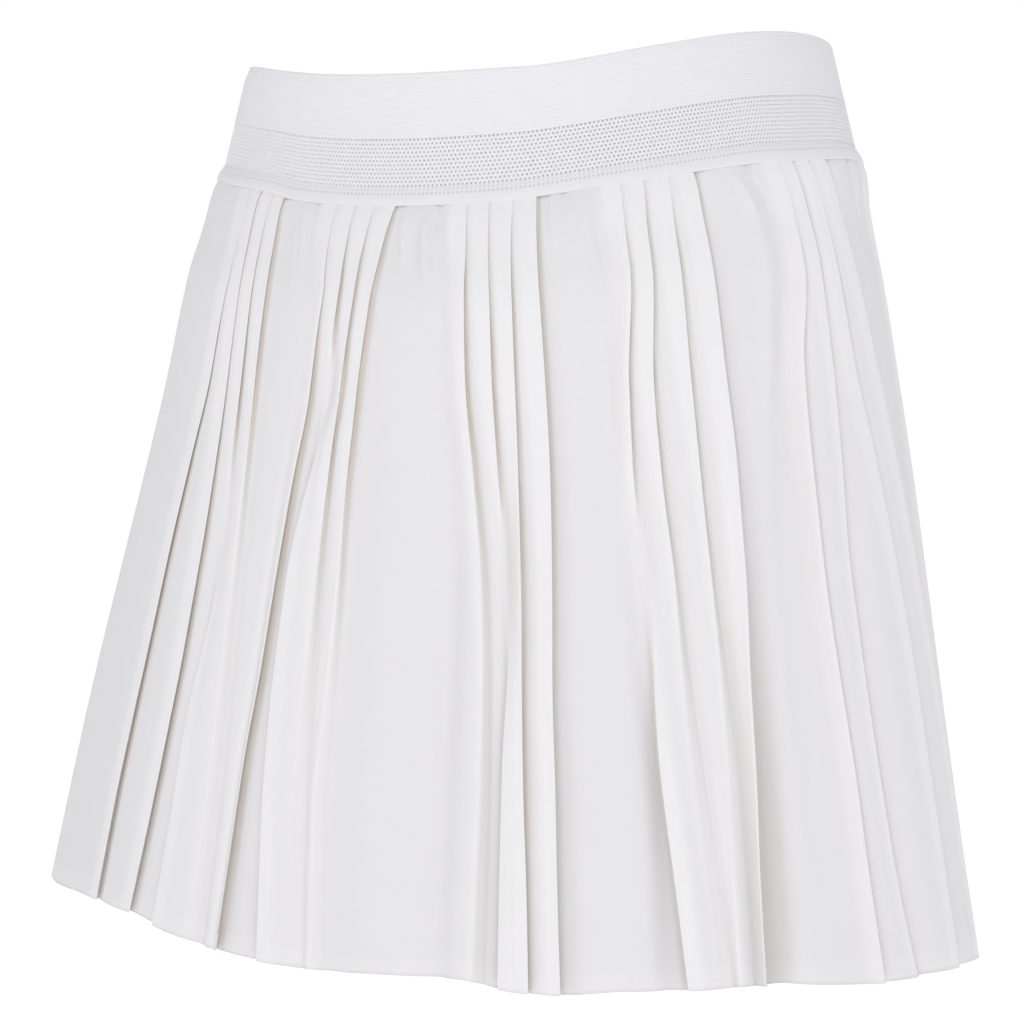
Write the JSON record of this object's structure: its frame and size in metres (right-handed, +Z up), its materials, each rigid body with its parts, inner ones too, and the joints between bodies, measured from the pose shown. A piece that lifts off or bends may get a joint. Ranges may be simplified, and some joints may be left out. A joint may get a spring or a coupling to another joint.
{
  "type": "tennis skort",
  "caption": "White tennis skort held in its worn, hollow shape: elastic waistband, flared skirt of grouped knife pleats and plain inner shorts.",
  "frame": {"origin": "centre of the waist opening, at the mean height of the waistband's top edge, where the wearer's waist holds the garment", "axes": "+Z up along the wearer, out of the waist opening; the front of the garment faces -Y; +X is the wearer's left"},
  "size_m": [0.404, 0.3075, 0.3749],
  "materials": {
    "waistband": "ribbed and perforated white elastic",
    "skirt_front": "matte white woven stretch cloth",
    "skirt_back": "matte white woven stretch cloth",
    "shorts_left": "matte white stretch knit",
    "shorts_right": "matte white stretch knit"
  },
  "bodies": {
    "root": {"waistband": "waistband", "skirt_front": "skirt_front", "skirt_back": "skirt_back", "shorts_left": "shorts_left", "shorts_right": "shorts_right"}
  },
  "joints": []
}
